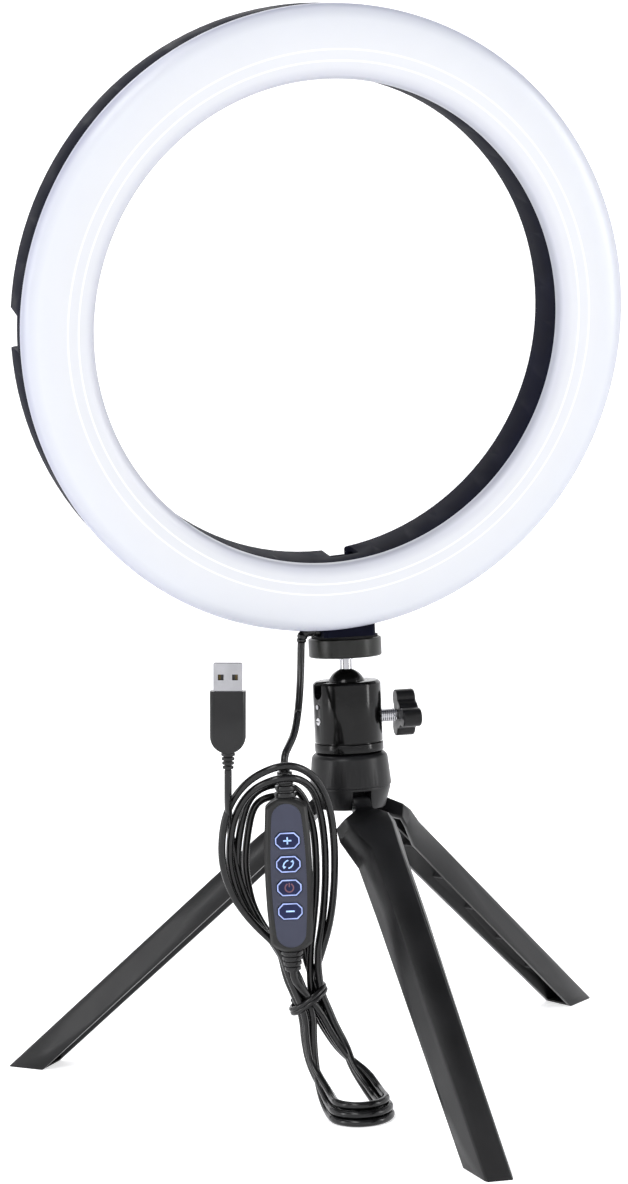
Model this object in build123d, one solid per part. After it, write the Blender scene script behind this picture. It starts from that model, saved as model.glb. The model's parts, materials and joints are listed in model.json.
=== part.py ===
from build123d import *
import math
import os

# USB ring light on a table tripod: LED ring, mini ball head, three folding legs, corded dimmer

# ---------------------------------------------------------------- driving dimensions (mm)
RING_OUTER_R = 130.0        # half of the 260 mm ring
RING_INNER_R = 100.5        # half of the clear opening
DOME_RISE = 7.5             # how far the diffuser bulges in front of its rim
DIFFUSER_WALL = 2.0
HOUSING_DEPTH = 25.0        # rim plane to back face
HOUSING_WALL = 2.2
HOUSING_DRAFT = 0.4         # how much smaller the outer wall is at the back
LIP_DEPTH = 3.0             # diffuser lip that plugs into the housing
LED_ROWS_R = (110.0, 121.0)
LEDS_PER_ROW = 54
BOARD_T = 1.6

SIDE_NOTCH_Z = 8.0          # side notch above the ring centre
SCREW_ANGLES = range(15, 360, 45)
SCREW_CIRCLE_R = (RING_OUTER_R + RING_INNER_R) / 2
BOSS_W = 23.0
BOSS_DEPTH = 24.0
INSERT_R = 4.6              # brass insert with the 1/4"-20 thread
THREAD_R = 3.175            # 1/4" stud
THREAD_HOLE_R = 3.25
INSERT_LEN = 7.0

BALL_Z = 171.0              # ball centre above the table
BALL_R = 8.5
BALL_GAP = 0.05             # running fit of the ball in its seat
RING_CENTRE = (-11.2, -45.4, 325.0)
RING_TILT = 12.8            # the ring looks slightly down on its boss
RING_LEAN = -3.8            # and stands slightly to its left
RING_YAW = 3.0              # turned a little to the knob side
DISC_R = 16.0
DISC_BOTTOM = 13.8          # above the ball centre
DISC_TOP = 22.1
PAD_T = 1.0
STEM_R = 2.7
BOSS_LOW = BALL_Z + DISC_TOP + PAD_T + 0.05            # just clear of the pad
BOSS_X, BOSS_Y = -1.0, -2.4  # middle of the boss
BOSS_RISE = 12.0
GLAND_Y = -6.0
GLAND_R = 2.65
GLAND_UP = 3.3              # gland centre above the boss's foot

HEAD_R = 15.0
HEAD_TOP = 174.0
GROOVE_Z = 147.6
HEAD_BOTTOM = 142.4
SLOT_W = 6.6                # side slot that lets the stem drop
SLOT_TURN = 16.0            # slot towards the front
SIDE_SCREW_Z = 157.0
KNOB_Z = 157.5
KNOB_X = 22.5               # inner face of the wing knob
KNOB_T = 8.5
KNOB_R = 11.4
KNOB_LOBES = (67, 187, 307)
KNOB_SCREW_R = 2.9

HUB_TOP_R = 16.7
HUB_R = 18.0
HUB_SEAM_Z = 128.0
HUB_BOTTOM = 118.5
HINGE_R = 13.0              # hinge axis from the tripod axis
HINGE_Z = 121.5
PIN_R = 1.5
PIN_CLEAR = 0.05
LEG_AZIMUTHS = {"front": -87.5, "right": 32.5, "left": 152.5}
LEG_SPREAD = 49.5           # from straight down, legs open
LEG_ROLL = 5.0              # the channel is turned a little about its own length
NECK_W = 7.6
NECK_LEN = 6.0
SLOT_CLEAR = 0.35
LEG_WALL = 2.0
PIN_HALF = 5.4
LEG_RIB_END = 160.0
LEG_CROSS_RIBS = (40, 68, 96, 124, 152)
FOOT_PAD_T = 1.5

CORD_R = 1.6
CTRL_TURN = -13.0           # the dimmer faces slightly left
CTRL_X = -38.0
CTRL_Y = -38.5
CTRL_Z = 98.0
CTRL_W = 20.0
CTRL_LEN = 65.0
CTRL_T = 11.0
CTRL_WALL = 1.4
BUTTON_W = 10.4
BUTTON_H = 7.0
BUTTON_OFFSETS = {"brighter": 14.8, "colour": 4.9, "power": -5.0, "dimmer": -14.9}
RELIEF_LEN_TOP = 11.5
RELIEF_LEN_BOTTOM = 9.0

PLUG_X = -62.6
PLUG_Y = -42.0
PLUG_Z = 143.9              # bottom of the sleeve on the cord
PLUG_LEAN = 2.6
SLEEVE_LEN = 7.6
GRIP_LEN = 25.4
SHELL_LEN = 11.5

# cord routes, points chosen by hand
LEAD_ROUTE = [(-14.9, -6.0, 197.5), (-18.0, -6.0, 197.5), (-20.6, -6.1, 195.4), (-21.3, -6.6, 190.5),
              (-22.1, -8.2, 182.0), (-23.8, -11.8, 172.0), (-26.6, -18.2, 162.5), (-30.2, -26.4, 155.4),
              (-34.4, -33.4, 151.2), (-38.0, -38.5, 147.4), (-38.0, -38.5, 142.05)]
DROP_ROUTE = [(-38.0, -38.5, 56.5), (-38.0, -38.5, 52.0), (-35.0, -34.0, 46.5)]
TAIL_ROUTE = [(-59.6, -26.8, 112.0), (-61.0, -31.0, 120.5), (-62.4, -37.2, 128.6), (-63.0, -42.0, 135.6),
              (-62.6, -42.0, 143.9)]
HANK_LIMBS = {
    "upper_left": [(-31.5, -29.0, 44.0), (-42.0, -27.5, 62.0), (-56.0, -26.5, 82.0), (-60.0, -26.5, 108.0),
                   (-54.0, -26.5, 128.5), (-40.0, -26.5, 138.2)],
    "upper_right": [(-44.0, -26.5, 138.2), (-31.0, -26.5, 136.0), (-22.4, -26.5, 122.0), (-20.0, -26.5, 100.0),
                    (-21.5, -27.0, 78.0), (-25.5, -28.5, 58.0), (-30.0, -30.5, 44.0)],
    "lower_left": [(-30.5, -30.0, 44.0), (-33.0, -34.0, 29.0), (-31.5, -41.5, 14.0), (-28.5, -53.0, 4.8),
                   (-25.0, -66.0, 4.6), (-19.0, -77.0, 4.6)],
    "lower_right": [(-21.5, -76.5, 4.6), (-11.5, -78.0, 4.6), (-8.9, -67.0, 4.6), (-9.4, -54.5, 7.0),
                    (-13.0, -43.0, 17.0), (-21.0, -35.5, 31.0), (-29.0, -31.5, 43.0)],
}
HANK_R = 4.4
WAIST_AT = (-30.3, -30.6, 42.5)
WAIST_AXIS = (-0.30, 0.12, 0.95)
WAIST_R = 7.2
WAIST_LEN = 13.0
TIE_WIDTH = 3.0
TIE_T = 1.2

os.makedirs("parts", exist_ok=True)


# ---------------------------------------------------------------- helpers
def save(name, *solids):
    """Write one node: every solid of it in one compound."""
    bodies = [s for part in solids for s in part.solids()]
    shape = bodies[0] if len(bodies) == 1 else Compound(children=bodies)
    shape.label = name
    export_step(shape, os.path.join("parts", name + ".step"))


def cyl(radius, z0, z1, x=0.0, y=0.0):
    return Pos(x, y, (z0 + z1) / 2) * Cylinder(radius, z1 - z0)


def cyl_y(radius, y0, y1, x=0.0, z=0.0):
    return Pos(x, (y0 + y1) / 2, z) * Rot(X=90) * Cylinder(radius, y1 - y0)


def cyl_x(radius, x0, x1, y=0.0, z=0.0):
    return Pos((x0 + x1) / 2, y, z) * Rot(Y=90) * Cylinder(radius, x1 - x0)


def box(x0, x1, y0, y1, z0, z1):
    size = Box(x1 - x0, y1 - y0, z1 - z0)
    return Pos((x0 + x1) / 2, (y0 + y1) / 2, (z0 + z1) / 2) * size


def turned(points, axis=Axis.Z):
    """Revolve a closed (radius, height) outline about Z."""
    outline = Plane.XZ * make_face(Polyline(*points, close=True))
    return revolve(outline, axis)


def ring_turned(points):
    """Revolve a closed (radius, y) outline about the ring's own Y axis."""
    outline = make_face(Polyline(*points, close=True))
    return revolve(outline, Axis.Y)


def polar(radius, degrees):
    return radius * math.cos(math.radians(degrees)), radius * math.sin(math.radians(degrees))


def bend_radii(points):
    """Arc radius at each inner point: 0.45 of the shorter run over the tangent of half the turn."""
    radii = []
    for a, b, c in zip(points, points[1:], points[2:]):
        run_in = Vector(*b) - Vector(*a)
        run_out = Vector(*c) - Vector(*b)
        half_turn = math.radians(run_in.get_angle(run_out)) / 2
        radii.append(0.45 * min(run_in.length, run_out.length) / math.tan(half_turn))
    return radii


def tube(points, radius, name):
    """Round tube along straight runs joined by tangent arcs."""
    radii = bend_radii(points)
    print(name, "arc radii", [round(r, 1) for r in radii])
    path = FilletPolyline(*points, radius=radii)
    start = Plane(origin=points[0], z_dir=Vector(*points[1]) - Vector(*points[0]))
    solid = sweep(start * Circle(radius), path)
    ratio = solid.volume / (math.pi * radius ** 2 * path.length)
    print(name, "volume over section x length", round(ratio, 4))
    return solid


# ---------------------------------------------------------------- ring frame
def ring_place():
    """Where the ring's own frame (ring centre at 0, facing -Y) stands in the model."""
    return Pos(*RING_CENTRE) * Rot(Z=RING_YAW) * Rot(Y=RING_LEAN) * Rot(X=RING_TILT)


def stem_place():
    return Pos(0, 0, BALL_Z)


def dome(radius_out, radius_in, rise, steps=20):
    """Outer curve of the diffuser: a flattened half ellipse from rim to rim."""
    middle = (radius_out + radius_in) / 2
    half = (radius_out - radius_in) / 2
    curve = []
    for i in range(steps + 1):
        angle = math.pi * i / steps
        across = math.copysign(abs(math.cos(angle)) ** 0.9, math.cos(angle))
        curve.append((middle + half * across, -rise * math.sin(angle) ** 0.8 - 1.0))
    return curve


def diffuser_cover():
    outer = dome(RING_OUTER_R, RING_INNER_R, DOME_RISE)
    inner = dome(RING_OUTER_R - DIFFUSER_WALL, RING_INNER_R + DIFFUSER_WALL, DOME_RISE - DIFFUSER_WALL)
    lip = HOUSING_WALL + 0.65
    skin = [(RING_OUTER_R, 0.0)] + outer + [(RING_INNER_R, 0.0)]
    skin += [(RING_INNER_R + lip, 0.0), (RING_INNER_R + lip, LIP_DEPTH)]
    skin += [(RING_INNER_R + lip + 1.4, LIP_DEPTH)]
    skin += [(RING_INNER_R + lip + 1.4, 0.0)] + inner[::-1][1:-1]
    skin += [(RING_OUTER_R - lip - 1.4, 0.0), (RING_OUTER_R - lip - 1.4, LIP_DEPTH)]
    skin += [(RING_OUTER_R - lip, LIP_DEPTH), (RING_OUTER_R - lip, 0.0)]
    return ring_turned(skin)


def housing_channel():
    """Space inside the housing, in the ring's frame."""
    out_front, out_back = RING_OUTER_R - 0.3, RING_OUTER_R - HOUSING_DRAFT
    in_front, in_back = RING_INNER_R + 0.2, RING_INNER_R + 0.8
    wall, back = HOUSING_WALL, HOUSING_DEPTH
    return ring_turned([
        (out_front - wall, -1), (out_back - wall, back - wall), (in_back + wall, back - wall),
        (in_front + wall, -1)])


def housing_shell():
    """Channel-shaped ring with its notches and screw holes, in the ring's frame."""
    out_front, out_back = RING_OUTER_R - 0.3, RING_OUTER_R - HOUSING_DRAFT
    in_front, in_back = RING_INNER_R + 0.2, RING_INNER_R + 0.8
    wall, back = HOUSING_WALL, HOUSING_DEPTH
    shell = ring_turned([
        (out_front, 0), (out_back + 0.4, back - 2.5), (out_back - 1.6, back), (in_back + 1.0, back),
        (in_back, back - 1.0), (in_front, 0), (in_front + wall, 0), (in_back + wall, back - wall),
        (out_back - wall, back - wall), (out_front - wall, 0)])
    side_notch = extrude(Plane.YZ * make_face(Polyline((8, -7.0), (30, -8.0), (30, 9.5), (8, 7.0),
                                                       close=True)), 7)
    shell -= Pos(-RING_OUTER_R - 1.0, 0, SIDE_NOTCH_Z) * side_notch
    dovetail = Plane.XY * make_face(Polyline((-5, 0), (5, 0), (7.5, -5), (7.5, -16), (-5, -16), close=True))
    shell -= Pos(4, HOUSING_DEPTH + 1, -RING_INNER_R - 4.0) * extrude(dovetail, 6)
    for angle in SCREW_ANGLES:
        x, z = polar(SCREW_CIRCLE_R, angle)
        shell -= cyl_y(1.7, back - wall - 1, back + 1, x, z)
        shell -= cyl_y(3.0, back - 1.0, back + 1, x, z)
    return shell


def rear_housing():
    """The housing with the boss it stands on."""
    half_w, half_d = BOSS_W / 2, BOSS_DEPTH / 2
    top = BOSS_LOW + BOSS_RISE
    boss = box(BOSS_X - half_w, BOSS_X + half_w, BOSS_Y - half_d, BOSS_Y + half_d, BOSS_LOW, top)
    boss = chamfer(boss.edges().filter_by(Axis.Z), 1.2)
    boss -= ring_place() * housing_channel()
    boss -= ring_place() * cyl_y(RING_INNER_R + 2.0, -50, 50)
    shell = ring_place() * housing_shell() + boss
    shell -= cyl(INSERT_R, BOSS_LOW - 1, BOSS_LOW + INSERT_LEN)
    face = BOSS_X - half_w
    return shell - cyl_x(GLAND_R + 0.05, face - 1, face + 5, y=GLAND_Y, z=BOSS_LOW + GLAND_UP)


def led_board():
    floor = HOUSING_DEPTH - HOUSING_WALL - 4.0
    board = ring_turned([(RING_OUTER_R - 7.5, floor), (RING_OUTER_R - 7.5, floor - BOARD_T),
                         (RING_INNER_R + 5.5, floor - BOARD_T), (RING_INNER_R + 5.5, floor)])
    for angle in SCREW_ANGLES:
        x, z = polar(SCREW_CIRCLE_R, angle)
        board -= cyl_y(1.6, floor - 5, floor + 5, x, z)
    return board


def leds():
    front = HOUSING_DEPTH - HOUSING_WALL - 4.0 - BOARD_T
    chips = []
    for row in LED_ROWS_R:
        for i in range(LEDS_PER_ROW):
            angle = 360.0 * i / LEDS_PER_ROW
            x, z = polar(row, angle)
            chips.append(Pos(x, front - 0.5, z) * Rot(Y=-angle) * Box(3.5, 1.0, 2.8))
    return chips


def board_screws():
    """Screws that enter from the back, pass the spacers and clamp the board."""
    top = HOUSING_DEPTH - 1.0
    board_front = HOUSING_DEPTH - HOUSING_WALL - 4.0 - BOARD_T
    screws = []
    for angle in SCREW_ANGLES:
        x, z = polar(SCREW_CIRCLE_R, angle)
        head = cyl_y(2.8, top, top + 1.1, x, z) - cyl_y(0.9, top + 0.5, top + 2, x, z)
        screws.append(head + cyl_y(1.5, board_front - 1.2, top, x, z))
    return screws


def board_spacers():
    low = HOUSING_DEPTH - HOUSING_WALL - 4.0
    high = HOUSING_DEPTH - HOUSING_WALL
    spacers = []
    for angle in SCREW_ANGLES:
        x, z = polar(SCREW_CIRCLE_R, angle)
        spacers.append(cyl_y(3.0, low, high, x, z) - cyl_y(1.6, low - 1, high + 1, x, z))
    return spacers


def threaded_insert():
    body = cyl(INSERT_R, BOSS_LOW, BOSS_LOW + INSERT_LEN)
    return body - cyl(THREAD_HOLE_R, BOSS_LOW - 1, BOSS_LOW + INSERT_LEN - 1.0)


def cable_gland():
    """Collar in the side of the boss that the lead comes out of."""
    face = BOSS_X - BOSS_W / 2
    collar = cyl_x(GLAND_R, face - 0.2, face + 4.5, GLAND_Y, BOSS_LOW + GLAND_UP)
    return collar + cyl_x(GLAND_R + 0.3, face - 2.4, face, GLAND_Y, BOSS_LOW + GLAND_UP)


# ---------------------------------------------------------------- ball head
def stem():
    shaft = cyl(STEM_R, 0, DISC_BOTTOM)
    shaft += cyl(STEM_R + 1.0, DISC_BOTTOM - 1.2, DISC_BOTTOM)
    return shaft - Sphere(BALL_R + 0.15)


def platform_disc():
    disc = cyl(DISC_R, DISC_BOTTOM, DISC_TOP)
    disc = fillet(disc.edges().filter_by(GeomType.CIRCLE), 0.8)
    return disc - cyl(THREAD_R, DISC_TOP - 4.0, DISC_TOP + 1)


def platform_pad():
    pad = cyl(DISC_R - 1.4, DISC_TOP, DISC_TOP + PAD_T)
    return pad - cyl(THREAD_R + 0.5, DISC_TOP - 1, DISC_TOP + PAD_T + 1)


def mount_stud():
    stud = cyl(THREAD_R, DISC_TOP - 4.0, DISC_TOP + PAD_T + 4.6)
    return chamfer(stud.edges().group_by(Axis.Z)[-1], 0.6)


def head_body():
    top = HEAD_TOP
    body = turned([(0, GROOVE_Z), (HEAD_R, GROOVE_Z), (HEAD_R, top - 1.2), (HEAD_R - 1.2, top), (0, top)])
    body -= Pos(0, 0, BALL_Z) * Sphere(BALL_R + BALL_GAP)
    body -= cyl(7.2, BALL_Z, top + 1)
    body -= cyl(BALL_R + BALL_GAP, BALL_Z - 13.5, BALL_Z)
    slot = cyl_x(SLOT_W / 2, -HEAD_R - 1, 0, z=BALL_Z - 1.0)
    slot += box(-HEAD_R - 1, 0, -SLOT_W / 2, SLOT_W / 2, BALL_Z - 1.0, top + 1)
    slot += cyl_x(1.0, -HEAD_R - 1, -HEAD_R + 2.5, z=BALL_Z - 7.6)
    slot += cyl_x(1.6, -HEAD_R - 1, -HEAD_R + 3.0, z=SIDE_SCREW_Z)
    body -= Rot(Z=SLOT_TURN) * slot
    return body - cyl_x(KNOB_SCREW_R + 0.05, 0, HEAD_R + 1, z=KNOB_Z)


def ball_seat():
    """Nylon cup under the ball, pushed up by the lock screw's cone."""
    low, high = BALL_Z - 9.6, BALL_Z - 4.2
    cup = cyl(BALL_R - 0.1, low, high)
    cup -= Pos(0, 0, BALL_Z) * Sphere(BALL_R + BALL_GAP)
    return cup


def seat_washer():
    """Washer stack that carries the cup."""
    return cyl(6.0, BALL_Z - 10.2, BALL_Z - 9.6) - cyl(2.0, BALL_Z - 11, BALL_Z - 9)


def head_base():
    """Lower ring of the head, below the groove, with the tripod thread."""
    base = turned([(0, HEAD_BOTTOM), (HEAD_R - 1.0, HEAD_BOTTOM), (HEAD_R + 0.2, HEAD_BOTTOM + 1.0),
                   (HEAD_R + 0.2, GROOVE_Z - 0.7), (HEAD_R - 0.8, GROOVE_Z - 0.7), (HEAD_R - 0.8, GROOVE_Z),
                   (0, GROOVE_Z)])
    return base - cyl(THREAD_R, HEAD_BOTTOM - 1, HEAD_BOTTOM + 6)


def slot_pin():
    return Rot(Z=SLOT_TURN) * cyl_x(1.0, -HEAD_R - 0.35, -HEAD_R + 2.5, z=BALL_Z - 7.6)


def side_screw():
    screw = cyl_x(1.6, -HEAD_R - 0.1, -HEAD_R + 3.0, z=SIDE_SCREW_Z)
    groove = box(-HEAD_R - 1, -HEAD_R + 0.6, -2.4, 2.4, SIDE_SCREW_Z - 0.3, SIDE_SCREW_Z + 0.3)
    return Rot(Z=SLOT_TURN) * (screw - groove)


def lock_knob():
    """Three-lobed wing knob on the lock screw."""
    plan = Circle(6.2)
    for angle in KNOB_LOBES:
        plan += Pos(*polar(KNOB_R - 4.1, angle)) * Circle(4.1)
    plan = fillet(plan.vertices(), 1.5)
    across = Plane(origin=(KNOB_X, 0, KNOB_Z), x_dir=(0, 1, 0), z_dir=(1, 0, 0))
    knob = extrude(across * plan, KNOB_T)
    knob = fillet(knob.faces().sort_by(Axis.X)[-1].edges(), 1.0)
    knob = fillet(knob.faces().sort_by(Axis.X)[0].edges(), 0.5)
    return knob - cyl_x(2.2, KNOB_X - 1, KNOB_X + 5.5, z=KNOB_Z)


def knob_screw():
    shaft = cyl_x(2.2, 10.6, KNOB_X + 5.5, z=KNOB_Z)
    for i in range(9):
        x = 14.2 + i * 0.9
        shaft += Pos(x, 0, KNOB_Z) * Rot(Y=90) * Cylinder(KNOB_SCREW_R - 0.05, 0.45)
    return shaft


# ---------------------------------------------------------------- tripod
def leg_slot(degrees):
    """Space in the hub for one leg's neck, open below and outward."""
    half = NECK_W / 2 + SLOT_CLEAR
    return Rot(Z=degrees) * box(HINGE_R - 6.5, HUB_R + 3, -half, half, HUB_BOTTOM - 2, HINGE_Z + 5.4)


def hub_cap():
    cap = turned([(0, HUB_SEAM_Z), (HUB_R, HUB_SEAM_Z), (HUB_R - 0.2, HUB_SEAM_Z + 2.2),
                  (HUB_TOP_R, HEAD_BOTTOM - 1.6),
                  (HUB_TOP_R - 1.4, HEAD_BOTTOM), (0, HEAD_BOTTOM)])
    cap -= cyl(THREAD_R, HUB_SEAM_Z - 1, HEAD_BOTTOM + 1)
    cap -= cyl(6.0, HUB_SEAM_Z - 1, HUB_SEAM_Z + 4.6)
    return cap


def hub_body():
    body = turned([(0, HUB_BOTTOM), (HUB_R - 3.0, HUB_BOTTOM), (HUB_R - 0.6, HUB_SEAM_Z - 1.2),
                   (HUB_R - 0.6, HUB_SEAM_Z),
                   (0, HUB_SEAM_Z)])
    for degrees in LEG_AZIMUTHS.values():
        body -= leg_slot(degrees)
        body -= hinge_pin(degrees, PIN_HALF + 0.1)
    return body - cyl(3.3, HUB_BOTTOM - 1, HUB_SEAM_Z + 1)


def tripod_stud():
    """1/4" stud with a hexagon head captive under the cap."""
    shaft = cyl(THREAD_R, HUB_SEAM_Z + 4.6, GROOVE_Z - 0.2)
    head = Pos(0, 0, HUB_SEAM_Z + 2.3) * extrude(RegularPolygon(5.6, 6), 2.3, both=True)
    return shaft + head


def hub_screw():
    """Self-tapping screw that closes the hub from below."""
    shaft = cyl(1.6, HUB_BOTTOM + 1.0, HUB_SEAM_Z)
    head = cyl(3.0, HUB_BOTTOM + 0.2, HUB_BOTTOM + 2.4)
    head -= box(-2.4, 2.4, -0.4, 0.4, HUB_BOTTOM, HUB_BOTTOM + 1.2)
    return shaft + head


def hinge_pin(degrees, half):
    at_hinge = Pos(0, 0, HINGE_Z) * Rot(Z=degrees) * Pos(HINGE_R, 0, 0)
    return at_hinge * Rot(X=90) * Cylinder(PIN_R, 2 * half)


def hinge_pins():
    return [hinge_pin(degrees, PIN_HALF) for degrees in LEG_AZIMUTHS.values()]


def leg_place(degrees):
    """Leg frame: X along the leg from its hinge, Y across it, Z towards its ridge."""
    return Rot(Z=degrees) * Pos(HINGE_R, 0, HINGE_Z) * Rot(Y=90 - LEG_SPREAD)


def leg_section(along, shift, foot, crown, top, low):
    """Across the leg: a flat crown over two splayed sides, turned by the roll."""
    corners = [(-foot, low), (-crown - 0.5, top - 0.9), (-crown + 0.3, top), (crown - 0.3, top),
               (crown + 0.5, top - 0.9), (foot, low)]
    turn_cos, turn_sin = polar(1.0, LEG_ROLL)
    outline = [(shift + y * turn_cos - z * turn_sin, y * turn_sin + z * turn_cos) for y, z in corners]
    face = make_face(Polyline(*outline, close=True))
    return Plane(origin=(along, 0, 0), x_dir=(0, 1, 0), z_dir=(1, 0, 0)) * face


# along the leg, sideways shift, half width at the open side and at the crown, crown height, depth
LEG_STATIONS = (
    (NECK_LEN, 0.0, 4.2, 3.4, 3.3, -3.3),
    (NECK_LEN + 4.5, 0.0, 13.2, 9.4, 4.0, -2.6),
    (NECK_LEN + 11.0, 0.4, 13.4, 9.2, 5.0, -4.0),
    (NECK_LEN + 25.0, 2.8, 11.0, 6.0, 6.4, -5.6),
    (NECK_LEN + 54.0, 3.3, 10.6, 5.7, 6.5, -6.0),
    (215.0, 3.0, 8.0, 4.8, 6.0, -6.2),
)


def leg_blank():
    return loft([leg_section(*station) for station in LEG_STATIONS], ruled=True)


def leg_hollow(wall):
    """Inside of the channel, open below and closed towards the neck."""
    sections = []
    for along, shift, foot, crown, top, low in LEG_STATIONS[1:]:
        near = along + wall if along < NECK_LEN + 5 else along
        inner_foot, inner_crown = foot - 0.9 * wall, crown - 0.55 * wall
        sections.append(leg_section(near, shift, inner_foot, inner_crown, top - wall, low - wall))
    return loft(sections, ruled=True)


def under_table():
    return box(-400, 400, -400, 400, -200, 0)


def leg(name):
    hollow = leg_hollow(LEG_WALL)
    neck = box(0, NECK_LEN + 3.0, -NECK_W / 2, NECK_W / 2, -2.6, 3.0)
    neck += Rot(X=90) * Cylinder(3.3, NECK_W)
    ribs = box(NECK_LEN + 4, LEG_RIB_END, -0.7, 0.7, -2.4, 6.2)
    for along in LEG_CROSS_RIBS:
        ribs += box(along, along + 1.4, -14, 16, -1.8, 6.5)
    body = (leg_blank() - hollow) + neck + (ribs & hollow)
    body -= Rot(X=90) * Cylinder(PIN_R + PIN_CLEAR, 20)
    return leg_place(LEG_AZIMUTHS[name]) * body - under_table()


def foot_pad(name):
    """Rubber pad that fills the open end of the leg's channel."""
    place = leg_place(LEG_AZIMUTHS[name])
    slab = box(-400, 400, -400, 400, 0, FOOT_PAD_T)
    return (place * leg_hollow(LEG_WALL + 0.02) & place * leg_blank()) & slab


# ---------------------------------------------------------------- dimmer on the lead
def ctrl_place():
    return Pos(CTRL_X, CTRL_Y, CTRL_Z) * Rot(Z=CTRL_TURN)


def ctrl_outline(width, length, corner):
    """Slightly barrel-sided plan: width across, length up."""
    half, tall = width / 2, length / 2
    waist = half - 1.3
    side = ThreePointArc((half - 1.3, -tall + corner), (half, 0), (half - 1.3, tall - corner))
    top = ThreePointArc((waist, tall - corner), (0, tall), (-waist, tall - corner))
    left = ThreePointArc((-half + 1.3, tall - corner), (-half, 0), (-half + 1.3, -tall + corner))
    low = ThreePointArc((-waist, -tall + corner), (0, -tall), (waist, -tall + corner))
    return make_face([side, top, left, low])


def ctrl_slab(width, length, corner, y0, y1):
    """The plan shape, extruded from y0 to y1 in the dimmer's frame (front is -Y)."""
    plan = Plane(origin=(0, y1, 0), x_dir=(1, 0, 0), z_dir=(0, -1, 0)) * ctrl_outline(width, length, corner)
    return extrude(plan, y1 - y0)


def ctrl_front_shell():
    shell = ctrl_slab(CTRL_W, CTRL_LEN, 4.0, -CTRL_T / 2, 0)
    shell = chamfer(shell.faces().sort_by(Axis.Y)[0].edges(), 1.2)
    shell -= ctrl_slab(CTRL_W - 2 * CTRL_WALL, CTRL_LEN - 2 * CTRL_WALL, 3.2, -CTRL_T / 2 + 2.0, 1)
    shell -= ctrl_slab(CTRL_W - 5.0, CTRL_LEN - 4.4, 5.0, -CTRL_T / 2 - 1, -CTRL_T / 2 + 0.6)
    for offset in BUTTON_OFFSETS.values():
        shell -= button_prism(BUTTON_W + 0.5, BUTTON_H + 0.5, -CTRL_T / 2 - 1, 0, offset)
    return shell - cord_ports()


def cord_ports():
    return cyl(2.0, -CTRL_LEN, CTRL_LEN)


def ctrl_back_shell():
    shell = ctrl_slab(CTRL_W, CTRL_LEN, 4.0, 0, CTRL_T / 2)
    shell = fillet(shell.faces().sort_by(Axis.Y)[-1].edges(), 1.8)
    shell -= ctrl_slab(CTRL_W - 2 * CTRL_WALL, CTRL_LEN - 2 * CTRL_WALL, 3.2, -1, CTRL_T / 2 - 1.6)
    for z in (-24.0, 24.0):
        shell += cyl_y(2.4, 0.2, CTRL_T / 2 - 0.5, x=5.0, z=z)
        shell -= cyl_y(1.1, -1, CTRL_T / 2 + 1, x=5.0, z=z)
        shell -= cyl_y(1.9, CTRL_T / 2 - 1.0, CTRL_T / 2 + 1, x=5.0, z=z)
    return shell - cord_ports()


def ctrl_screws():
    screws = []
    for z in (-24.0, 24.0):
        head = cyl_y(1.8, CTRL_T / 2 - 1.0, CTRL_T / 2 - 0.1, x=5.0, z=z)
        screws.append(head + cyl_y(1.05, 0.3, CTRL_T / 2 - 1.0, x=5.0, z=z))
    return screws


def button_prism(width, height, y0, y1, offset, cut=2.2):
    """Octagonal button: a rectangle with cut corners."""
    w, h = width / 2, height / 2
    outline = Polyline((w, -h + cut), (w, h - cut), (w - cut, h), (-w + cut, h), (-w, h - cut), (-w, -h + cut),
                       (-w + cut, -h), (w - cut, -h), close=True)
    plane = Plane(origin=(0, y1, offset), x_dir=(1, 0, 0), z_dir=(0, -1, 0))
    return extrude(plane * make_face(outline), y1 - y0)


def label_panel():
    panel = ctrl_slab(CTRL_W - 5.1, CTRL_LEN - 4.5, 5.0, -CTRL_T / 2 + 0.1, -CTRL_T / 2 + 0.6)
    for offset in BUTTON_OFFSETS.values():
        panel -= button_prism(BUTTON_W + 0.5, BUTTON_H + 0.5, -CTRL_T / 2 - 1, 0, offset)
    return panel


def button(offset):
    front = -CTRL_T / 2 - 0.35
    cap = button_prism(BUTTON_W, BUTTON_H, front, front + 2.6, offset)
    return chamfer(cap.faces().sort_by(Axis.Y)[0].edges(), 0.3)


def ctrl_board():
    """Circuit board with a switch under each button and the driver chip."""
    board = box(-6.8, 6.8, 0.2, 1.4, -21.0, 21.0)
    for offset in BUTTON_OFFSETS.values():
        board += box(-2.2, 2.2, -1.6, 0.2, offset - 2.2, offset + 2.2)
    return board + box(-3.0, 3.0, 1.4, 2.6, -3.0, 3.0)


def strain_relief(z0, z1, thick, thin):
    """Ribbed sleeve that tapers from the case to the cord."""
    length = z1 - z0
    sign = 1 if length > 0 else -1
    sleeve = None
    count = 4
    pitch = length / count
    for i in range(count):
        radius = thick + (thin - thick) * i / (count - 1)
        low = z0 + i * pitch
        ribs = cyl(radius, min(low, low + pitch * 0.68), max(low, low + pitch * 0.68))
        core = cyl(radius - 0.9, min(low, low + pitch), max(low, low + pitch))
        sleeve = ribs + core if sleeve is None else sleeve + ribs + core
    if sign < 0:
        return sleeve + cyl(1.9, z0, z0 + 3.0)
    return sleeve + cyl(1.9, z0 - 3.0, z0)


# ---------------------------------------------------------------- plug
def plug_place():
    return Pos(PLUG_X, PLUG_Y, PLUG_Z) * Rot(Y=PLUG_LEAN) * Rot(Z=CTRL_TURN)


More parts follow.
